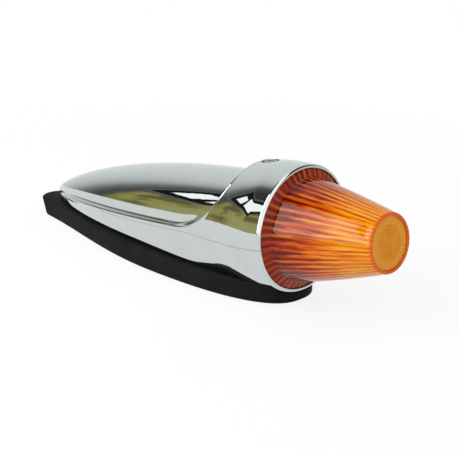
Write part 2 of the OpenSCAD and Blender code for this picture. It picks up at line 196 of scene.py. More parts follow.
def makeCamera(at):
    azimuth = math.radians(at["azimuth"])
    elevation = math.radians(at["elevation"])
    flat = math.cos(elevation)
    back = Vector((math.sin(azimuth) * flat, -math.cos(azimuth) * flat, math.sin(elevation)))
    data = bpy.data.cameras.new("camera")
    data.lens = at["lens"]
    data.sensor_width = at["sensor"]
    data.clip_start = at["clipStart"]
    camera = bpy.data.objects.new("camera", data)
    bpy.context.scene.collection.objects.link(camera)
    camera.location = at["target"] + back * at["distance"]
    camera.rotation_euler = (-back).to_track_quat("-Z", "Y").to_euler()
    bpy.context.scene.camera = camera


makeCamera(cameraAt)
bpy.context.scene.view_settings.view_transform = "Standard"
print("camera placed")


# one wire of a shader tree: arithmetic on wires adds Math nodes
class Wire:
    def __init__(self, tree, socket=None):
        self.tree = tree
        self.socket = socket

    def plug(self, socket, value):
        if isinstance(value, Wire):
            self.tree.links.new(value.socket, socket)
        elif hasattr(socket.default_value, "__len__"):
            size = len(socket.default_value)
            values = list(value) if hasattr(value, "__len__") else [value] * size
            socket.default_value = (values + [1.0])[:size]
        else:
            socket.default_value = value

    def add(self, kind, settings, sockets, out=0):
        node = self.tree.nodes.new("ShaderNode" + kind)
        for key, value in settings.items():
            if key == "stops":
                self.setStops(node.color_ramp, value)
            else:
                setattr(node, key, value)
        for key, value in sockets.items():
            self.plug(node.inputs[key], value)
        return Wire(self.tree, node.outputs[out])

    def setStops(self, ramp, stops):
        while len(ramp.elements) < len(stops):
            ramp.elements.new(0.5)
        for element, (position, colour) in zip(ramp.elements, stops):
            element.position = position
            element.color = (*colour, 1) if hasattr(colour, "__len__") else (colour, colour, colour, 1)

    def maths(self, operation, other=0.0):
        return self.add("Math", {"operation": operation}, {0: self, 1: other})

    def __add__(self, other):
        return self.maths("ADD", other)

    __radd__ = __add__

    def __mul__(self, other):
        return self.maths("MULTIPLY", other)

    __rmul__ = __mul__

    def __sub__(self, other):
        return self.maths("SUBTRACT", other)

    def __rsub__(self, other):
        return self * -1 + other

    def __truediv__(self, other):
        return self.maths("DIVIDE", other)

    def between(self, low, high):
        return self.add(
            "MapRange", {"interpolation_type": "SMOOTHSTEP", "clamp": True},
            {"Value": self, "From Min": low, "From Max": high, "To Min": 0.0, "To Max": 1.0},
        )

    def colours(self, a, b):
        return self.add("Mix", {"data_type": "RGBA"}, {0: self, 6: a, 7: b}, 2)


class Finish:
    def __init__(self, name):
        self.material = bpy.data.materials.new(name)
        self.material.use_nodes = True
        self.tree = self.material.node_tree
        self.shader = self.tree.nodes["Principled BSDF"]
        self.wire = Wire(self.tree)

    def place(self):
        return self.wire.add("TexCoord", {}, {}, "Object")

    # coordinates along the lamp axis, across it and up from it
    def axisPlace(self):
        return self.wire.add(
            "Mapping", {"vector_type": "TEXTURE"},
            {"Vector": self.place(), "Location": rimCentre, "Rotation": (0, -lampTilt, 0)},
        )

    def split(self, place):
        node = self.wire.add("SeparateXYZ", {}, {0: place}).socket.node
        return [Wire(self.tree, output) for output in node.outputs]

    def noise(self, place, size, detail=3.0, roughness=0.5):
        sockets = {"Vector": place, "Scale": 1 / size, "Detail": detail, "Roughness": roughness}
        return self.wire.add("TexNoise", {}, sockets, "Fac")

    def bump(self, height, distance, strength=1.0):
        return self.wire.add("Bump", {}, {"Height": height, "Distance": distance, "Strength": strength})

    def set(self, **values):
        for key, value in values.items():
            self.wire.plug(self.shader.inputs[socketNames[key]], value)
        return self.material


socketNames = {
    "colour": "Base Color", "metallic": "Metallic", "roughness": "Roughness", "normal": "Normal",
    "ior": "IOR", "transmission": "Transmission Weight", "specular": "Specular IOR Level",
}


# finishes
def chromeFinish(name, look):
    finish = Finish(name)
    place = finish.axisPlace()
    along, across, up = finish.split(place)
    waves = finish.noise(place, look["waveSize"], detail=1.0)
    haze = finish.noise(place, look["hazeSize"], detail=4.0, roughness=0.6)
    # the mould's parting line runs low on both flanks
    angle = up.maths("ARCTAN2", across.maths("ABSOLUTE"))
    off = (angle - math.radians(look["seamAngle"])).maths("ABSOLUTE")
    seam = (1 - off.between(0, look["seamWidth"])) * along.between(*look["seamStart"])
    tint = haze.between(*look["dullFrom"]).colours(look["colour"], look["dulled"])
    return finish.set(
        colour=(seam * look["seamShare"]).colours(tint, look["seam"]), metallic=1.0,
        roughness=haze.between(*look["roughFrom"]) * look["roughSpan"] + look["rough"],
        normal=finish.bump(waves * look["waveHeight"] - seam * look["seamDepth"], 1 * mm),
    )


chromeLook = {
    "colour": (0.575, 0.61, 0.61), "dulled": (0.55, 0.585, 0.585), "dullFrom": (0.35, 0.7),
    "rough": 0.015, "roughSpan": 0.03, "roughFrom": (0.45, 0.75),
    "waveSize": 9 * mm, "waveHeight": 0.03, "hazeSize": 14 * mm,
    "seam": (0.25, 0.26, 0.26), "seamShare": 0.6, "seamAngle": -6, "seamWidth": 0.014, "seamDepth": 0.05,
    "seamStart": (-150 * mm, -120 * mm),
}


def rubberFinish(name, look):
    finish = Finish(name)
    place = finish.place()
    grain = finish.noise(place, look["grainSize"], detail=4.0, roughness=0.65)
    blotch = finish.noise(place, look["blotchSize"])
    worn = blotch.between(*look["wornFrom"])
    return finish.set(
        colour=worn.colours(look["colour"], look["worn"]),
        roughness=grain * look["roughSpan"] + look["rough"],
        specular=look["specular"],
        normal=finish.bump(grain, look["grainHeight"], look["grainShare"]),
    )


rubberLook = {
    "colour": (0.004, 0.004, 0.0045), "worn": (0.008, 0.008, 0.008), "wornFrom": (0.35, 0.7),
    "rough": 0.6, "roughSpan": 0.2, "specular": 0.09,
    "grainSize": 0.7 * mm, "grainHeight": 0.12 * mm, "grainShare": 0.6, "blotchSize": 18 * mm,
}
sealLook = {**rubberLook, "colour": (0.02, 0.02, 0.02), "rough": 0.55}


def amberFinish(name, look):
    finish = Finish(name)
    along, across, up = finish.split(finish.axisPlace())
    # painted light: bright and dark streaks, standing in for light refracted through the flutes, run from the
    # foot of the lens to its tip, as the flutes do
    turn = up.maths("ARCTAN2", across)
    radius = (across * across + up * up).maths("SQRT")
    paintedRibLight = (turn * look["flutes"]).maths("COSINE")
    unrolled = finish.wire.add("CombineXYZ", {}, {0: along * look["stretch"], 1: turn * look["reach"]})
    streak = finish.noise(unrolled, look["streakSize"], roughness=0.6)
    # painted light: the tint is painted paler towards the tip, where more light shines through the lens
    depth = along.between(look["deepAt"], look["paleAt"])
    # the ring leans forward with the rim
    ring = 1 - (along - up * look["lean"]).between(*look["ringEdge"])
    front = along.between(*look["beadEdge"])
    bead = front * radius.between(*look["beadFrom"])
    calm = front * look["faceCalm"] + ring * look["ringCalm"]
    # painted light: the rib lines and streaks are brightness that the flutes' refraction would give, painted
    # into the tint
    grain = (paintedRibLight * look["ribs"] + (streak - 0.5) * look["paintedStreaks"]) * (1 - calm)
    tone = depth * look["rise"] + grain + look["start"]
    tone = tone + ring * look["ringLift"] + front * look["faceLift"] - bead * look["beadDrop"]
    tint = finish.wire.add("ValToRGB", {"stops": look["tints"]}, {"Fac": tone})
    rough = streak.between(*look["roughFrom"]) * look["roughSpan"] + look["rough"]
    finish.set(colour=tint, transmission=1.0, ior=look["ior"], specular=look["gloss"], roughness=rough)
    # part of the light scatters in the plastic, most of it in the ring and the front bead
    body = finish.wire.add("BsdfPrincipled", {}, {
        "Base Color": tint, "Roughness": rough, "Transmission Weight": look["through"], "IOR": look["ior"],
        "Specular IOR Level": look["gloss"],
    })
    share = (ring + bead) * look["thickShare"] + look["bodyShare"]
    glass = Wire(finish.tree, finish.shader.outputs[0])
    mix = finish.wire.add("MixShader", {}, {0: share, 1: glass, 2: body})
    finish.wire.plug(finish.tree.nodes["Material Output"].inputs["Surface"], mix)
    return finish.material


amberLook = {
    # deepAt, paleAt and rise set the tint painted paler towards the tip, where more light shines through
    # the ribs and streaks weights set the painted light streaks in the tint
    "deepAt": -1 * mm, "paleAt": 44 * mm, "start": 0.14, "rise": 0.62, "ribs": 0.22, "paintedStreaks": 1.6,
    "tints": [
        (0.0, (0.1, 0.008, 0.001)), (0.3, (0.45, 0.03, 0.002)), (0.55, (0.8, 0.15, 0.005)),
        (0.8, (0.94, 0.34, 0.008)), (1.0, (1.0, 0.52, 0.015)),
    ],
    "flutes": 48, "stretch": 0.08, "reach": 20 * mm, "streakSize": 1.3 * mm,
    "rough": 0.02, "roughSpan": 0.04, "roughFrom": (0.4, 0.8), "ior": 1.4, "gloss": 0.19,
    "beadDrop": 0.38, "faceLift": 0.16, "faceCalm": 0.7, "ringLift": 0.08, "ringCalm": 0.35,
    "through": 0.2, "bodyShare": 0.75, "thickShare": 0.2,
    "lean": 0.085, "ringEdge": (1.5 * mm, 2.3 * mm),
    "beadEdge": (52 * mm, 52.6 * mm), "beadFrom": (12 * mm, 12.8 * mm),
}


def metalFinish(name, look):
    finish = Finish(name)
    place = finish.place()
    grain = finish.noise(place, look["grainSize"], detail=4.0, roughness=0.6)
    stain = finish.noise(place, look["stainSize"])
    return finish.set(
        colour=stain.between(*look["stainFrom"]).colours(look["colour"], look["stained"]),
        metallic=1.0,
        roughness=grain * look["roughSpan"] + look["rough"],
        normal=finish.bump(grain, look["grainHeight"], look["grainShare"]),
    )


def metalLook(colour, stained, rough):
    return {
        "colour": colour, "stained": stained, "stainFrom": (0.4, 0.7), "stainSize": 4 * mm,
        "rough": rough, "roughSpan": 0.15,
        "grainSize": 0.5 * mm, "grainHeight": 0.01 * mm, "grainShare": 0.5,
    }


def mouldedFinish(name, look):
    finish = Finish(name)
    place = finish.place()
    grain = finish.noise(place, look["grainSize"])
    cloud = finish.noise(place, look["cloudSize"])
    return finish.set(
        colour=cloud.between(*look["cloudFrom"]).colours(look["colour"], look["cloud"]),
        roughness=grain * look["roughSpan"] + look["rough"],
        normal=finish.bump(grain, look["grainHeight"], look["grainShare"]),
    )


def mouldedLook(colour, cloud, rough):
    return {
        "colour": colour, "cloud": cloud, "cloudFrom": (0.3, 0.7), "cloudSize": 5 * mm,
        "rough": rough, "roughSpan": 0.15,
        "grainSize": 0.6 * mm, "grainHeight": 0.03 * mm, "grainShare": 0.5,
    }


def glassFinish(name, look):
    finish = Finish(name)
    place = finish.place()
    smear = finish.noise(place, look["smearSize"])
    return finish.set(
        colour=smear.between(*look["smearFrom"]).colours(look["colour"], look["smear"]),
        roughness=smear.between(*look["roughFrom"]) * look["roughSpan"],
        transmission=1.0, ior=look["ior"],
    )


glassLook = {
    "colour": (0.98, 0.99, 0.98), "smear": (0.94, 0.95, 0.94), "smearFrom": (0.4, 0.7), "smearSize": 6 * mm,
    "roughSpan": 0.05, "roughFrom": (0.45, 0.8), "ior": 1.5,
}

finishes = {
    "chrome": chromeFinish("chrome", chromeLook),
    "rubber": rubberFinish("rubber", rubberLook),
    "seal": rubberFinish("seal", sealLook),
    "amber": amberFinish("amber", amberLook),
    "steel": metalFinish("steel", metalLook((0.42, 0.36, 0.24), (0.24, 0.19, 0.12), 0.24)),
    "reflector": metalFinish("reflector", metalLook((0.8, 0.8, 0.78), (0.7, 0.7, 0.68), 0.1)),
    "brass": metalFinish("brass", metalLook((0.72, 0.5, 0.2), (0.5, 0.33, 0.14), 0.22)),
    "nickel": metalFinish("nickel", metalLook((0.62, 0.6, 0.55), (0.5, 0.47, 0.42), 0.2)),
    "tungsten": metalFinish("tungsten", metalLook((0.3, 0.3, 0.31), (0.2, 0.2, 0.21), 0.4)),
    "fibre": mouldedFinish("fibre", mouldedLook((0.3, 0.12, 0.05), (0.22, 0.08, 0.03), 0.6)),
    "blackGlass": mouldedFinish("blackGlass", mouldedLook((0.012, 0.012, 0.016), (0.02, 0.02, 0.025), 0.15)),
    "block": mouldedFinish("block", mouldedLook((0.75, 0.73, 0.66), (0.68, 0.66, 0.58), 0.42)),
    "leadRed": mouldedFinish("leadRed", mouldedLook((0.5, 0.02, 0.015), (0.4, 0.015, 0.012), 0.4)),
    "leadBlack": mouldedFinish("leadBlack", mouldedLook((0.015, 0.015, 0.015), (0.03, 0.03, 0.03), 0.4)),
    "clearGlass": glassFinish("clearGlass", glassLook),
}


def dress(piece, finishName):
    piece.data.materials.clear()
    piece.data.materials.append(finishes[finishName])


print("finishes made:", len(finishes))

# casting: a torpedo whose outer shell rises to the collar along a swept lip
casting = {
    "tail": -195.6 * mm, "humpFront": -40 * mm, "humpRadius": 26 * mm, "tailPower": 2.2, "fullPower": 0.75,
    "lipStep": 1.2 * mm, "lipFade": 20 * mm, "lipDrop": 2.6 * mm, "lipSteepest": 0.9,
    "lipArcAt": -66.5 * mm, "lipArcRadius": 42.5 * mm,
    "collarBack": -24 * mm, "flareEnd": -10 * mm, "collarRadius": 33 * mm, "rimRadius": 32.3 * mm,
    "stripWide": 4.4 * mm, "stripThin": 2.6 * mm, "stripLimit": 0.35, "thinBy": 0.5,
    "lipRidge": 0.35, "lipBead": 0.08,
    "valley": 0.35 * mm, "valleyReach": 3 * mm, "valleyFade": 60 * mm, "valleyEnd": 1 / 3,
    "belly": -36 * mm, "draft": 0.14, "draftStart": 3 * mm, "thinnest": 0.25,
    "footRound": 2.6 * mm, "footShare": 0.3, "roundFrom": -66 * mm, "roundTo": -26 * mm, "underSpread": 1.02,
    "tailColumns": 70, "tailCrowding": 1.7, "arcColumns": 72, "arcStep": 0.0002, "collarColumns": 12,
    "humpRows": 40, "humpCrowding": 0.8, "stripRows": 16, "flankRows": 56, "bottomRows": 14,
    "rimRound": 1.7 * mm, "rimInner": 30.5 * mm, "rimSteps": 12, "rimHold": 0.2 * mm,
    "rimLean": 0.09, "leanReach": 8 * mm, "shadeAngle": 35,
    "seatAt": -5.5 * mm, "seatRadius": 25.4 * mm, "seatBack": -9 * mm,
    "chamberRadius": 29.6 * mm, "bulkheadAt": -22.6 * mm, "holderRadius": 16 * mm, "holderEnd": -56 * mm,
}
tiny = 0.1 * mm
padLow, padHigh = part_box("base_pad")


def humpRadius(s):
    back = casting["humpFront"] - s
    if back <= 0:
        return casting["humpRadius"]
    share = min(back / (casting["humpFront"] - casting["tail"]), 1)
    return casting["humpRadius"] * (1 - share ** casting["tailPower"]) ** casting["fullPower"]


def shellRadius(s):
    flareEnd = casting["flareEnd"]
    if s > flareEnd:
        return mixed(casting["collarRadius"], casting["rimRadius"], 1 - s / flareEnd)
    flare = smooth((s - casting["lipArcAt"]) / (flareEnd - casting["lipArcAt"]))
    tailFade = smooth((s - casting["tail"]) / casting["lipFade"])
    low = humpRadius(s) + casting["lipStep"] * tailFade
    return mixed(low, casting["collarRadius"], flare)


# the rim stands nearly upright, so the collar's front and the lens's foot lean forward at the top
def leaned(s, y, t):
    if s > 0:
        share = math.exp(-s / casting["leanReach"])
    else:
        share = smooth(1 - s / casting["collarBack"])
    return onAxis(s, y, t) + Vector((casting["rimLean"] * share * t, 0, 0))


# the lip runs level along the flank and then sweeps up an arc to the top of the collar
def lipPath():
    tailColumns = casting["tailColumns"]
    span = casting["lipArcAt"] - casting["tail"]
    path = []
    for i in range(tailColumns):
        s = casting["tail"] + span * (i / tailColumns) ** casting["tailCrowding"]
        sunk = min(casting["lipDrop"] / max(shellRadius(s), tiny), casting["lipSteepest"])
        path.append((s, -math.asin(sunk)))
    fine = []
    bend = 0.0
    while True:
        s = casting["lipArcAt"] + casting["lipArcRadius"] * math.sin(bend)
        t = casting["lipArcRadius"] * (1 - math.cos(bend)) - casting["lipDrop"]
        radius = shellRadius(s)
        if t >= radius:
            break
        fine.append((s, math.asin(t / radius)))
        bend += casting["arcStep"]
    fine.append((fine[-1][0], math.pi / 2))
    run = [0.0]
    for (s0, a0), (s1, a1) in zip(fine, fine[1:]):
        run.append(run[-1] + math.hypot(s1 - s0, shellRadius(s0) * (a1 - a0)))
    count = casting["arcColumns"]
    k = 0
    for i in range(count):
        while run[k] < run[-1] * i / count:
            k += 1
        path.append(fine[k])
    path.append(fine[-1])
    return path


lip = lipPath()


# unit step on the unrolled surface from the lip towards the hump
def lipNormal(column):
    if column <= casting["tailColumns"]:
        return 0.0, 1.0
    if column == len(lip) - 1:
        return -1.0, 0.0
    (s0, a0), (s1, a1) = lip[column - 1], lip[column + 1]
    arc = shellRadius(lip[column][0]) * (a1 - a0)
    length = math.hypot(s1 - s0, arc)
    return -arc / length, (s1 - s0) / length


# the pad's plan: a drawn-out tail behind its widest place and a blunt nose in front of it
padPlan = {"wideAt": 0.61, "tail": 8 * mm, "tailPower": 1.5, "nosePower": 2.6, "tailRound": 6 * mm}


def padHalf(x):
    wide = padHigh.y
    tail = padPlan["tail"]
    wideAt = padPlan["wideAt"]
    nose = padPlan["nosePower"]
    u = min(max((x - padLow.x) / (padHigh.x - padLow.x), 0), 1)
    if u > wideAt:
        return wide * (1 - ((u - wideAt) / (1 - wideAt)) ** nose) ** (1 / nose)
    cap = min(max(x - padLow.x, 0) / padPlan["tailRound"], 1)
    swell = math.sin(math.pi / 2 * u / wideAt) ** padPlan["tailPower"]
    return (tail + (wide - tail) * swell) * math.sqrt(cap * (2 - cap))


# height of the pad's top as seen from the axis at s
def padLevel(s):
    return (padHigh.z - rimCentre.z - s * lampAxis.z) / lampAxis.x


# half width of the outer shell at height t: drafted walls below the axis, round towards the collar
def flankHalf(s, t):
    radius = shellRadius(s)
    half = math.sqrt(max(radius * radius - t * t, 0))
    if t >= 0:
        return half
    # the wall leans in a little and its foot is rounded under, so that the edge mirrors the pad
    foot = min(casting["footRound"], casting["footShare"] * radius)
    rise = min(max(t - padLevel(s), 0), foot)
    tuck = foot - math.sqrt(foot * foot - (foot - rise) ** 2)
    wall = radius - casting["draft"] * t * t / (casting["draftStart"] - t) - tuck
    span = casting["roundTo"] - casting["roundFrom"]
    return mixed(max(wall, casting["thinnest"] * radius), half, smooth((s - casting["roundFrom"]) / span))


def castingPoint(column, row):
    humpRows, stripRows = casting["humpRows"], casting["stripRows"]
    flankRows, bottomRows = casting["flankRows"], casting["bottomRows"]
    row = humpRows + stripRows + flankRows + bottomRows - row
    s, angle = lip[column]
    stepS, stepArc = lipNormal(column)
    radius = shellRadius(s)
    share = max(angle, 0) / (math.pi / 2)
    width = mixed(casting["stripWide"], casting["stripThin"], smooth(share / casting["thinBy"]))
    width = min(width, casting["stripLimit"] * humpRadius(s))
    dip = casting["valley"] * (1 - smooth(share / casting["valleyEnd"]))
    dip *= smooth((s - casting["tail"]) / casting["valleyFade"])
    endS = s + stepS * width
    endAngle = angle + stepArc * width / max(radius, tiny)
    if row <= humpRows:
        turn = mixed(math.pi / 2, endAngle, (row / humpRows) ** casting["humpCrowding"])
        away = (turn - endAngle) * radius
        r = humpRadius(endS) - dip * math.exp(-(away / casting["valleyReach"]) ** 2)
        return onAxis(endS, -r * math.cos(turn), r * math.sin(turn))
    if row <= humpRows + stripRows:
        u = 1 - (row - humpRows) / stripRows
        s = s + stepS * width * u
        turn = mixed(angle, endAngle, u)
        ridge = casting["lipRidge"]
        bead = casting["lipBead"] * width * math.sin(math.pi / 2 * min(u / ridge, 2)) ** 2
        r = mixed(shellRadius(s), humpRadius(s) - dip, smoother((u - ridge) / (1 - ridge))) + bead
        return onAxis(s, -r * math.cos(turn), r * math.sin(turn))
    lowest = padLevel(s)
    spread = max(radius, -casting["underSpread"] * lowest)
    lowTurn = math.asin(lowest / spread)
    row -= humpRows + stripRows
    if row <= flankRows:
        lipTurn = math.asin(radius * math.sin(angle) / spread)
        t = spread * math.sin(mixed(lipTurn, lowTurn, row / flankRows))
        return onAxis(s, -flankHalf(s, t), t)
    inward = (row - flankRows) / bottomRows
    if s < casting["belly"]:
        return onAxis(s, -flankHalf(s, lowest) * (1 - inward), lowest)
    turn = mixed(lowTurn, -math.pi / 2, inward)
    return onAxis(s, -radius * math.cos(turn), radius * math.sin(turn))


# from the lip's end forward round the rim, then back along the inside to the bulb holder
def collarOutline():
    back = lip[-1][0]
    rounded = casting["rimRound"]
    rim = shellRadius(-rounded)
    inner = casting["rimInner"]
    held = -rounded - casting["rimHold"]
    columns = casting["collarColumns"]
    outline = []
    for i in range(columns + 1):
        s = mixed(back, held, i / columns)
        outline.append((s, shellRadius(s)))
    steps = casting["rimSteps"]
    for i in range(steps + 1):
        bend = math.pi / 2 * i / steps
        outline.append((-rounded * (1 - math.sin(bend)), rim - rounded * (1 - math.cos(bend))))
    outline.append((inner + rounded - rim, inner))
    inside = [
        ("seatAt", "rimInner"), ("seatAt", "seatRadius"), ("seatBack", "seatRadius"),
        ("seatBack", "chamberRadius"), ("bulkheadAt", "chamberRadius"),
        ("bulkheadAt", "holderRadius"), ("holderEnd", "holderRadius"),
    ]
    outline += [(casting[at], casting[radius]) for at, radius in inside]
    return outline + [(casting["holderEnd"], 0)]


def makeHousing():
    flankRows, bottomRows = casting["flankRows"], casting["bottomRows"]
    rows = casting["humpRows"] + casting["stripRows"] + flankRows + bottomRows
    body = gridPiece("body", len(lip) - 1, rows, castingPoint)
    outline = collarOutline()
    lipEnd = lip[-1][0]
    lowTurn = math.asin(padLevel(lipEnd) / shellRadius(lipEnd))

    def collarPoint(column, row):
        s, r = outline[column]
        down = flankRows + bottomRows - row
        if down <= flankRows:
            turn = mixed(math.pi / 2, lowTurn, down / flankRows)
        else:
            turn = mixed(lowTurn, -math.pi / 2, (down - flankRows) / bottomRows)
        t = r * math.sin(turn)
        return leaned(s, -r * math.cos(turn), t)

    collar = gridPiece("collar", len(outline) - 1, flankRows + bottomRows, collarPoint)
    housing = joined("chrome_housing", [body, collar])
    applied(housing, "MIRROR", use_axis=(False, True, False), use_clip=True, merge_threshold=0.01 * mm)
    closeMesh(housing)
    return housing


recess = {
    "at": -19.6 * mm, "radius": 4.6 * mm, "floor": 29.6 * mm, "flare": 0.5 * mm, "above": 5 * mm, "steps": 64,
}


def cutRecess(housing):
    top = shellRadius(recess["at"])
    r, flare = recess["radius"], recess["flare"]
    outline = [(recess["floor"], 0), (recess["floor"], r), (top - flare, r), (top + flare, r + 2 * flare)]
    outline += [(top + recess["above"], r + 2 * flare), (top + recess["above"], 0)]
    centre = onAxis(recess["at"], 0, 0)
    cutter = turned("cutter", outline, recess["steps"], centre, lampUp, lampAxis)
    carve(housing, cutter)


housing = makeHousing()
cutRecess(housing)
softShade(housing, casting["shadeAngle"])
dress(housing, "chrome")
placed(housing, "base", "chrome", "housing")
print("housing:", len(housing.data.polygons), "faces")

# rubber saddle pad
pad = {
    "points": 220, "edge": 1.2 * mm, "edgeSteps": 4, "fit": 0.25 * mm, "hole": 2.75 * mm, "holeAt": 40 * mm,
    "cable": 4 * mm, "cableAt": -20 * mm, "slant": 4.5 * mm, "slantHigh": 8.5 * mm, "slantReach": 14 * mm,
    "edgeAngle": 0.9, "bedEnd": 24 * mm, "bedColumns": 10, "bedSteps": 192, "holePoints": 48,
    "merge": 0.002 * mm, "shadeAngle": 35,
}


def makePad():
    selectOnly(None)
    bpy.ops.mesh.primitive_circle_add(vertices=pad["points"], radius=1, fill_type="NGON")
    piece = bpy.context.object
    piece.name = "saddle_pad"
    half = pad["points"] // 2
    for i, vertex in enumerate(piece.data.vertices):
        k = i if i <= half else pad["points"] - i
        x = mixed(padLow.x, padHigh.x, (1 - math.cos(math.pi * k / half)) / 2)
        y = padHalf(x) * (1 if i <= half else -1)
        vertex.co = (x, y, padLow.z)
    openMesh(piece)
    bpy.ops.mesh.extrude_region_move(TRANSFORM_OT_translate={"value": (0, 0, padHigh.z - padLow.z)})
    closeMesh(piece)
    applied(
        piece, "BEVEL", width=pad["edge"], segments=pad["edgeSteps"],
        limit_method="ANGLE", angle_limit=pad["edgeAngle"],
    )
    # the tail end leans out, so its foot is drawn forward
    for vertex in piece.data.vertices:
        near = 1 - smooth((vertex.co.x - padLow.x) / pad["slantReach"])
        vertex.co.x += pad["slant"] * near * max(1 - vertex.co.z / pad["slantHigh"], 0)
    fit = pad["fit"]
    back = casting["belly"] - fit
    columns = pad["bedColumns"]
    curve = [mixed(back, casting["collarBack"], i / columns) for i in range(columns + 1)]
    outline = [(back, 0)] + [(s, shellRadius(s) + fit) for s in curve]
    outline += [(pad["bedEnd"], casting["collarRadius"] + fit), (pad["bedEnd"], 0)]
    carve(piece, turned("cutter", outline, pad["bedSteps"]))
    for x, r in [(-pad["holeAt"], pad["hole"]), (pad["holeAt"], pad["hole"]), (pad["cableAt"], pad["cable"])]:
        selectOnly(None)
        bpy.ops.mesh.primitive_cylinder_add(
            vertices=pad["holePoints"], radius=r, depth=4 * padHigh.z, location=(x, 0, 0),
        )
        carve(piece, bpy.context.object)
    closeMesh(piece, pad["merge"])
    return softShade(piece, pad["shadeAngle"])


basePad = makePad()
dress(basePad, "rubber")
placed(basePad, "base", "rubber", "base_pad")
print("pad:", len(basePad.data.polygons), "faces")

# amber lens: a ribbed ring inside the rim and a smooth swelling cone, fluted inside
lens = {
    "flange": 30.2 * mm, "flangeBack": -3.3 * mm, "flangeFront": -0.3 * mm,
    "skirt": 25 * mm, "skirtEnd": -21.9 * mm, "bore": 22.4 * mm,
    "coneBase": 25.9 * mm, "coneAt": 1.8 * mm, "conePower": 1.2, "coneSteps": 16,
    "tip": 14.6 * mm, "front": 53.6 * mm, "bead": 1.9 * mm, "beadHigh": 0.9 * mm, "beadSteps": 12,
    "innerBase": 23.4 * mm, "innerAt": 4.5 * mm, "wall": 2.4 * mm,
    "flutes": 48, "fluteDepth": 0.03, "fluteEnd": 2 * mm, "fluteHub": 5 * mm,
    "edge": 0.3 * mm, "ridge": 0.35 * mm, "ridgeRound": 0.8, "ribs": 80, "ribHigh": 0.12 * mm, "ringSteps": 5,
    "rings": 5, "ringStep": 1.6 * mm, "ringHigh": 0.6 * mm, "ringHalf": 0.5 * mm,
    "steps": 480, "shadeAngle": 40,
}


def coneRadius(s):
    u = min(max((s - lens["coneAt"]) / (lens["front"] - lens["beadHigh"] - lens["coneAt"]), 0), 1)
    return mixed(lens["coneBase"], lens["tip"], u ** lens["conePower"])


def lensOutline():
    d = lens
    face = d["front"] - d["beadHigh"]
    innerTip = d["tip"] - d["wall"]
    innerFace = d["front"] - d["wall"]
    edge, ridge = d["edge"], d["ridge"]
    out = [(innerFace, 0), (innerFace, innerTip), (d["innerAt"], d["innerBase"]), (d["innerAt"], d["bore"])]
    out += [(d["skirtEnd"], d["bore"]), (d["skirtEnd"], d["skirt"]), (d["flangeBack"], d["skirt"])]
    out += [(d["flangeBack"], d["flange"] - edge), (d["flangeBack"] + edge, d["flange"])]
    out += [(d["flangeFront"] - edge, d["flange"])]
    for i in range(d["ringSteps"] + 1):
        u = i / d["ringSteps"]
        r = mixed(d["flange"] - edge, d["coneBase"] + ridge, u)
        out.append((mixed(d["flangeFront"], d["coneAt"] - ridge, u), r))
    out.append((d["coneAt"] - ridge / 4, d["coneBase"] + ridge * d["ridgeRound"]))
    for i in range(d["coneSteps"] + 1):
        s = mixed(d["coneAt"] + ridge, face, i / d["coneSteps"])
        out.append((s, coneRadius(s)))
    middle = d["tip"] - d["bead"] / 2
    for i in range(1, d["beadSteps"]):
        bend = math.pi * i / d["beadSteps"]
        out.append((face + d["beadHigh"] * math.sin(bend), middle + d["bead"] / 2 * math.cos(bend)))
    out.append((face, d["tip"] - d["bead"]))
    for k in range(d["rings"], 0, -1):
        r = k * d["ringStep"]
        out += [(face, r + d["ringHalf"]), (face + d["ringHigh"], r), (face, r - d["ringHalf"])]
    out.append((face, 0))
    return out


def makeLens():
    piece = turned("amber_lens", lensOutline(), lens["steps"])
    for vertex in piece.data.vertices:
        off = vertex.co - rimCentre
        s, y, t = off.dot(lampAxis), off.y, off.dot(lampUp)
        r = math.hypot(y, t)
        angle = math.atan2(t, y)
        scale = 1.0
        alongFlutes = lens["innerAt"] - tiny < s < lens["front"] - lens["fluteEnd"]
        if alongFlutes and lens["fluteHub"] < r < coneRadius(s) - lens["wall"] / 2:
            scale = 1 - lens["fluteDepth"] * (0.5 - 0.5 * math.cos(angle * lens["flutes"]))
        onRing = lens["flangeFront"] < s < lens["coneAt"] and lens["coneBase"] + lens["ridge"] < r
        if onRing:
            s += lens["ribHigh"] * math.cos(angle * lens["ribs"])
        vertex.co = leaned(s, y * scale, t * scale)
    closeMesh(piece)
    return softShade(piece, lens["shadeAngle"])


amberLens = makeLens()
dress(amberLens, "amber")
placed(amberLens, "lens", "amber", "lens")
print("lens:", len(amberLens.data.polygons), "faces")

# coil under the bulb's contact
coil = {
    "from": -45.1 * mm, "to": -39.1 * mm, "radius": 4.6 * mm, "wire": 0.4 * mm, "turns": 3.25,
    "steps": 120, "sides": 10, "merge": 0.001 * mm, "shadeAngle": 50,
}


def makeCoil():
    def coilPoint(column, row):
        share = column / coil["steps"]
        turn = 2 * math.pi * coil["turns"] * share
        side = 2 * math.pi * row / coil["sides"]
        r = coil["radius"] + coil["wire"] * math.cos(side)
        low, high = coil["from"] + coil["wire"], coil["to"] - coil["wire"]
        s = mixed(low, high, share) + coil["wire"] * math.sin(side)
        return onAxis(s, r * math.cos(turn), r * math.sin(turn))

    piece = gridPiece("contact_coil", coil["steps"], coil["sides"], coilPoint)
    openMesh(piece)
    bpy.ops.mesh.remove_doubles(threshold=coil["merge"])
    bpy.ops.mesh.select_all(action="DESELECT")
    bpy.ops.mesh.select_non_manifold()
    bpy.ops.mesh.edge_face_add()
    bpy.ops.object.mode_set(mode="OBJECT")
    closeMesh(piece, coil["merge"])
    return softShade(piece, coil["shadeAngle"])


contactCoil = makeCoil()
dress(contactCoil, "tungsten")
placed(contactCoil, "base", "nickel", "contact_spring")
onAxis(coil["from"], 0, 0)
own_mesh(contactCoil)
print("coil made")

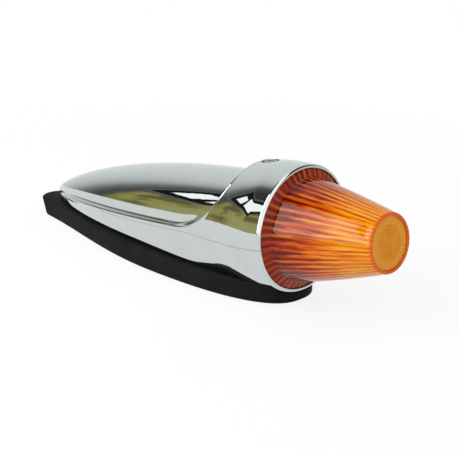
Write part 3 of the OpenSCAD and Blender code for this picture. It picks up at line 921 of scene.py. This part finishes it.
# the other pieces keep their own meshes
nodeFinishes = {
    "seal": ["lens_seal"],
    "steel": ["lens_screw", "screw_washer"],
    "reflector": ["reflector"],
    "nickel": [
        "reflector_screws", "reflector_nuts", "socket_shell", "bulb_supports", "bulb_contact",
        "terminal_screws", "block_screw",
    ],
    "brass": ["earth_tag", "contact_rivet", "rear_contact", "bulb_cap", "terminal_barrels", "mount_inserts"],
    "fibre": ["contact_carrier", "rear_insulator"],
    "clearGlass": ["bulb_glass", "bulb_stem"],
    "blackGlass": ["bulb_insulator"],
    "tungsten": ["bulb_filament"],
    "block": ["terminal_block"],
    "leadRed": ["live_lead"],
    "leadBlack": ["earth_lead"],
}
for finishName, names in nodeFinishes.items():
    for name in names:
        dress(nodes[name], finishName)
print("nodes dressed")

# studio: white floor, a pale side, a dark side with two windows and a low olive band, as the chrome shows
studio = {
    "floorRadius": 0.42, "floorPoints": 128, "floor": (0.85, 0.85, 0.85),
    "floorGlow": 0.85, "floorFade": (0.5, 0.95),
    "ambient": 0.8, "cool": (0.96, 1.0, 1.0), "sweep": (-0.4, 0.5),
    "shades": [
        (0, 0.93), (0.33, 0.83), (0.5, 0.68), (0.59, 0.5),
        (0.67, 0.28), (0.76, 0.14), (0.87, 0.08), (1, 0.055),
    ],
    "behind": (0.02, 0.1), "soft": 0.008,
    "olive": (0.41, 0.38, 0.12), "brown": (0.19, 0.16, 0.065), "patchScale": 6.0, "patchFrom": (0.45, 0.6),
    "bandTop": (0.28, 0.36), "bandFrom": (0.34, 0.46),
    "sand": (0.47, 0.45, 0.18), "sandTop": (0.08, 0.2), "sandFrom": (0.55, 0.75),
    "trim": (0.16, 0.16, 0.15), "trimAt": ((0.33, 1.15), (0.39, 0.91)),
    "frame": (0.014, 0.014, 0.014), "frameAt": ((0.36, 1.12), (0.42, 0.88)),
    "window": (1.5, 1.5, 1.45), "windowsAt": [((0.43, 0.58), (0.49, 0.67)), ((0.66, 1.06), (0.5, 0.82))],
    "room": (1.5, 1.5, 1.5), "roomFrom": (0.05, 0.2), "roomSide": (0.2, 0.4),
    "roomTop": (0.3, 0.5), "roomDim": 0.6,
}


def rayKinds(wire):
    ray = wire.add("LightPath", {}, {}).socket.node
    kinds = ["Is Camera Ray", "Is Glossy Ray", "Is Transmission Ray"]
    return [Wire(wire.tree, ray.outputs[kind]) for kind in kinds]


def makeFloor():
    selectOnly(None)
    radius = studio["floorRadius"]
    bpy.ops.mesh.primitive_circle_add(vertices=studio["floorPoints"], radius=radius, fill_type="NGON")
    floor = bpy.context.object
    floor.name = "floor"
    material = bpy.data.materials.new("floor")
    material.use_nodes = True
    tree = material.node_tree
    tree.nodes.clear()
    wire = Wire(tree)
    lit = wire.add("BsdfDiffuse", {}, {"Color": (*studio["floor"], 1)})
    glow = wire.add("Emission", {}, {"Color": (1, 1, 1, 1), "Strength": 1.0})
    seen, glossy, through = rayKinds(wire)
    # white to the eye and to what mirrors it, while the object's shadow still shows
    place = wire.add("TexCoord", {}, {}, "Object")
    reach = wire.add("VectorMath", {"operation": "LENGTH"}, {0: place}, "Value")
    # the edge fades into the backdrop
    inner, outer = studio["floorFade"]
    fade = reach.between(inner * radius, outer * radius)
    plain = fade * (1 - studio["floorGlow"]) + studio["floorGlow"]
    share = seen.maths("MAXIMUM", glossy).maths("MAXIMUM", through) * plain
    blend = wire.add("MixShader", {}, {0: share, 1: lit, 2: glow})
    out = tree.nodes.new("ShaderNodeOutputMaterial")
    tree.links.new(blend.socket, out.inputs["Surface"])
    floor.data.materials.append(material)


def makeWorld():
    world = bpy.data.worlds.new("studio")
    bpy.context.scene.world = world
    world.use_nodes = True
    tree = world.node_tree
    tree.nodes.clear()
    wire = Wire(tree)
    direction = wire.add("TexCoord", {}, {}, "Generated")
    node = wire.add("SeparateXYZ", {}, {0: direction}).socket.node
    x, y, z = (Wire(tree, output) for output in node.outputs)
    # left counts across a wall behind the tail and high up it
    left = y / x
    high = z / (x * -1)
    behind = (x * -1).between(*studio["behind"])
    patch = wire.add("TexNoise", {}, {"Vector": direction, "Scale": studio["patchScale"]})
    patch = patch.between(*studio["patchFrom"])
    soft = studio["soft"]

    def pane(leftRange, highRange):
        shown = behind
        for place, (low, top) in [(left, leftRange), (high, highRange)]:
            shown = shown * place.between(low - soft, low + soft)
            shown = shown * (1 - place.between(top - soft, top + soft))
        return shown

    start, end = studio["sweep"]
    shade = wire.add("ValToRGB", {"stops": studio["shades"]}, {"Fac": (left - start) / (end - start)})
    multiply = {"data_type": "RGBA", "blend_type": "MULTIPLY"}
    side = wire.add("Mix", multiply, {0: 1.0, 6: shade, 7: studio["cool"]}, 2)
    band = (1 - z.between(*studio["bandTop"])) * left.between(*studio["bandFrom"]) * behind
    side = band.colours(side, patch.colours(studio["olive"], studio["brown"]))
    ground = (1 - z.between(*studio["sandTop"])) * left.between(*studio["sandFrom"])
    side = ground.colours(side, studio["sand"])
    side = pane(*studio["trimAt"]).colours(side, studio["trim"])
    side = pane(*studio["frameAt"]).colours(side, studio["frame"])
    for windowAt in studio["windowsAt"]:
        side = pane(*windowAt).colours(side, studio["window"])
    # a bright room in front of the lens, which the rim's rounding mirrors, dimmer to the far side
    dim = studio["roomDim"]
    farSide = y.between(*studio["roomSide"]) * (z.between(*studio["roomTop"]) * (1 - dim) + dim)
    room = x.between(*studio["roomFrom"]) * (1 - farSide)
    shown = room.colours(side, studio["room"])
    seen, glossy, through = rayKinds(wire)
    ambient = studio["ambient"]
    base = glossy.colours((ambient, ambient, ambient), shown)
    colour = seen.maths("MAXIMUM", through).colours(base, (1, 1, 1))
    background = wire.add("Background", {}, {"Color": colour, "Strength": 1.0})
    out = tree.nodes.new("ShaderNodeOutputWorld")
    tree.links.new(background.socket, out.inputs["Surface"])


lamps = {
    "sideBox": {"at": (-0.37, -0.98, 0.6), "size": (0.5, 1.4), "roll": 22, "power": 12.0},
    "topBox": {"at": (0.1, 0.2, 1.2), "size": (1.0, 0.8), "roll": 0, "power": 0.8},
}


def makeLamps():
    aim = (cadBox[0] + cadBox[1]) / 2
    for name, lamp in lamps.items():
        data = bpy.data.lights.new(name, "AREA")
        data.shape = "RECTANGLE"
        data.size, data.size_y = lamp["size"]
        data.energy = lamp["power"]
        light = bpy.data.objects.new(name, data)
        bpy.context.scene.collection.objects.link(light)
        light.location = lamp["at"]
        roll = Quaternion((0, 0, 1), math.radians(lamp["roll"]))
        light.rotation_euler = ((aim - light.location).to_track_quat("-Z", "Y") @ roll).to_euler()


makeFloor()
makeWorld()
makeLamps()
print("studio lit")
